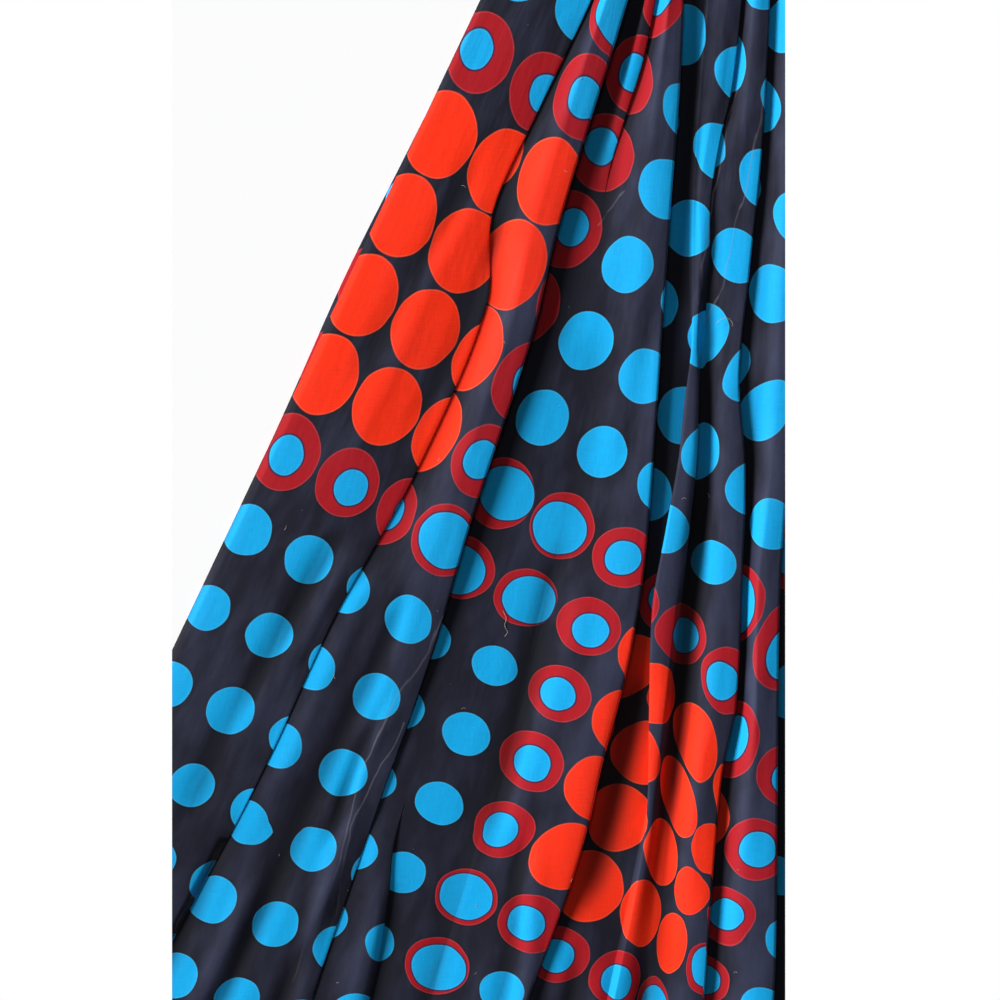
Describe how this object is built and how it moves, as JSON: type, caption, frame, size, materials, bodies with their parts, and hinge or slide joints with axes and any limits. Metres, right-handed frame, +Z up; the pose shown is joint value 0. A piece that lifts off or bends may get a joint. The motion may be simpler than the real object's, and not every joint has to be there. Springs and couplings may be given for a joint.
{
  "type": "flared skirt",
  "caption": "Long gathered, flared skirt with pressed pleats and an elastic waistband, laid flat.",
  "frame": {"origin": "on the surface that the skirt lies on, under the middle of its bounding box", "axes": "+X to the right as the front is seen, +Y towards the waistband, +Z up from the surface"},
  "size_m": [1.1086, 0.88, 0.0174],
  "materials": {
    "front_cotton": "dark navy printed cotton with blue, orange and crimson spots, matt with a faint wax sheen",
    "back_cotton": "the same printed cotton as the front",
    "band_cotton": "the same printed cotton, gathered over an elastic",
    "thread": "dark sewing thread"
  },
  "bodies": {
    "root": {"front_panel": "front_cotton", "back_panel": "back_cotton", "waistband_front": "band_cotton", "waistband_back": "band_cotton"}
  },
  "joints": []
}
